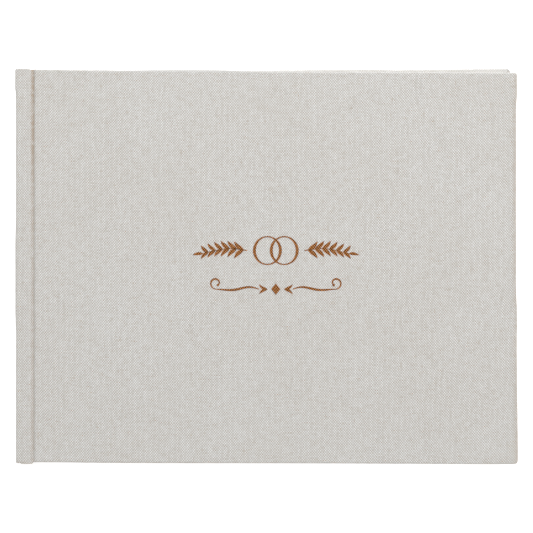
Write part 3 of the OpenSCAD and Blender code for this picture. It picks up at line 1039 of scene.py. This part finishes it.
def sprig(foil_mesh, side):
    """A laurel sprig, from beside the rings out to the end of the upper row."""
    start = RING_APART / 2 + RING_R + 3.2 * MM
    tip = 5.9 * MM
    length = UPPER_W / 2 - start - tip

    def stem(t):
        sway = 1.5 * math.sin(math.radians(207) * t) - t
        return (ORNAMENT_X + side * (start + length * t), UPPER_Y + sway * MM)

    steps = np.linspace(0, 1, STROKE_STEPS + 1)
    foil_mesh.stroke([stem(t) for t in steps], [(0.65 - 0.3 * t) * MM for t in steps])
    out = 0.0 if side > 0 else math.pi
    foil_mesh.leaf(stem(1.0), out - side * math.radians(8), tip, 1.75 * MM, bend=0.05 * side)
    for k in range(LEAF_PAIRS):
        foot = stem((k + 0.5) / (LEAF_PAIRS + 0.3))
        for fan in (1, -1):
            angle = out + side * fan * math.radians(42)
            leaf_l, leaf_w = (7.2 - 0.3 * k) * MM, (2.3 - 0.07 * k) * MM
            foil_mesh.leaf(foot, angle, leaf_l, leaf_w, bend=-0.09 * fan * side)


def rule(foil_mesh, side):
    """Half of the lower row: a swelling rule that ends in a curl, with a pair of leaves at its root."""
    start, curl_r = 9.5 * MM, 3.4 * MM
    end = LOWER_W / 2 - curl_r
    steps = np.linspace(0, 1, STROKE_STEPS + 1)
    line, curl = [], []
    for t in steps:
        sway = 1.6 * MM * math.sin(2 * math.pi * t) * (1 - t)
        line.append((ORNAMENT_X + side * (start + (end - start) * t), LOWER_Y + sway))
        angle, r = math.radians(315 * t - 90), curl_r * (1 - 0.55 * t)
        curl.append((ORNAMENT_X + side * (end + r * math.cos(angle)), LOWER_Y + curl_r + r * math.sin(angle)))
    foil_mesh.stroke(line, [(0.55 + 0.8 * math.sin(math.pi * t)) * MM for t in steps])
    foil_mesh.stroke(curl, [(0.55 + 0.5 * math.sin(math.pi * t)) * MM for t in steps])
    foil_mesh.dot(curl[-1], 0.75 * MM)
    out = 0.0 if side > 0 else math.pi
    root = (ORNAMENT_X + side * 4.6 * MM, LOWER_Y)
    for fan in (1, -1):
        angle = out + side * fan * math.radians(30)
        foil_mesh.leaf(root, angle, 5.6 * MM, 1.6 * MM, bend=-0.12 * fan * side)


def lozenge(foil_mesh):
    """The lozenge between the two rules; its upper side starts a hair above its lower one."""
    half_w, hair = 2.6 * MM, 0.02 * MM
    across = [(-half_w, 0.0), (0.0, 1.25 * half_w), (half_w, 0.0)]
    upper = [(ORNAMENT_X + x, LOWER_Y + (y or hair)) for x, y in across]
    lower = [(ORNAMENT_X + x, LOWER_Y - y) for x, y in across]
    foil_mesh.add(upper, lower)


def foil_ornament():
    made = Foil()
    for side in (-1, 1):
        made.ring((ORNAMENT_X + side * RING_APART / 2, UPPER_Y), RING_R, 0.7 * MM, 1.7 * MM)
        sprig(made, side)
        rule(made, side)
    lozenge(made)
    piece = new_piece("foil_rings_and_sprigs", made.verts, made.faces, FOIL, made.uvs, smooth=False)
    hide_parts("foil_ornament")
    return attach(piece, "front_cover")


foil_ornament()


# ---- pieces that keep their CAD shape ----
for material, nodes in (
    (GREYBOARD, ("front_board", "back_board", "spine_board")),
    (MULL, ("spine_mull", "front_hinge_mull", "back_hinge_mull")),
    (KRAFT, ("spine_liner",)),
    (THREAD, ("sewing_thread",)),
):
    for node in nodes:
        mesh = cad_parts[node].data
        mesh.materials.clear()
        mesh.materials.append(material)


# ---- the soft pieces' places, baked into their meshes ----
def bend(piece, fixed, moving, near, far):
    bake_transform(piece)


for piece, body in ((front_case, "front_cover"), (back_case, "back_cover")):
    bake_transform(piece)
for number, piece in sections.items():
    bend(piece, "spine", f"section_{number}", SHOULDER_X, ARC_END)
for side, piece in flyleaves.items():
    bend(piece, "spine", f"{side}_flyleaf", SHOULDER_X, ARC_END)
for side, piece in pastedowns.items():
    bend(piece, "spine", f"{side}_cover", PASTE_X, BOARD_X)


# ---- stage, light and camera ----
WHITE = (1.0, 1.0, 1.0, 1.0)
FLOOR_HALF = 6.0     # half of the floor's width
FLOOR_Z = -0.2 * MM  # a hair below the book, so that the two don't touch


def stage_floor():
    """A pale floor that glows a little, so that it is white all round the book."""
    around = ((-1, -1), (1, -1), (1, 1), (-1, 1))
    corners = [(x * FLOOR_HALF, y * FLOOR_HALF, FLOOR_Z) for x, y in around]
    n = Nodes("pale_floor")
    n.colour(n.mix(n.noise(n.object_mm(), 0.02, 2.0), srgb(225, 225, 225), srgb(228, 228, 228)))
    n.rough(0.9)
    n.shader.inputs["Specular IOR Level"].default_value = 0.1
    n.shader.inputs["Emission Color"].default_value = WHITE
    n.shader.inputs["Emission Strength"].default_value = 0.6
    new_piece("floor", corners, [(0, 1, 2, 3)], n.material, smooth=False)


def area_light(name, place, size, watts):
    """A round white light at that place, aimed at the middle of the book."""
    data = bpy.data.lights.new(name, "AREA")
    data.shape = "DISK"
    data.size = size
    data.energy = watts
    light = add_object(name, data)
    light.location = place
    light.rotation_euler = (-Vector(place)).to_track_quat("-Z", "Y").to_euler()


SKY = 0.612     # strength of the studio's ceiling and walls
HORIZON = 1.03  # strength where they meet the floor, which makes the backdrop white


def sky():
    """Even white light from all round, brightest in a low band where the walls meet the floor."""
    world = bpy.data.worlds.new("studio")
    world.use_nodes = True
    tree = world.node_tree
    place = tree.nodes.new("ShaderNodeTexCoord")
    parts = tree.nodes.new("ShaderNodeSeparateXYZ")
    band = tree.nodes.new("ShaderNodeMapRange")
    band.interpolation_type = "SMOOTHSTEP"
    for name, value in (("From Min", 0.12), ("From Max", 0.24), ("To Min", HORIZON), ("To Max", SKY)):
        band.inputs[name].default_value = value
    background = tree.nodes["Background"]
    background.inputs["Color"].default_value = WHITE
    tree.links.new(place.outputs["Generated"], parts.inputs[0])
    tree.links.new(parts.outputs[2], band.inputs["Value"])
    tree.links.new(band.outputs[0], background.inputs["Strength"])
    bpy.context.scene.world = world


def studio():
    sky()
    area_light("overhead", place=(0.2, 0.8, 1.3), size=1.6, watts=17)
    area_light("key", place=(1.1, 1.2, 2.0), size=1.2, watts=8)
    bpy.context.scene.view_settings.view_transform = "Standard"
    bpy.context.scene.view_settings.look = "None"


CAMERA_H = 1.5        # above the cover, looking straight down
CAMERA_X = 0.25 * MM  # the photo's middle, to the right of the book's
VIEW_W = 0.2976       # what the frame takes in at the cover's height


def camera():
    data = bpy.data.cameras.new("camera")
    data.sensor_width = 36
    data.lens = data.sensor_width * CAMERA_H / VIEW_W
    data.clip_end = 50
    made = add_object("camera", data)
    made.location = (CAMERA_X, 0.0, BOOK_T + CAMERA_H)
    bpy.context.scene.camera = made


stage_floor()
studio()
camera()
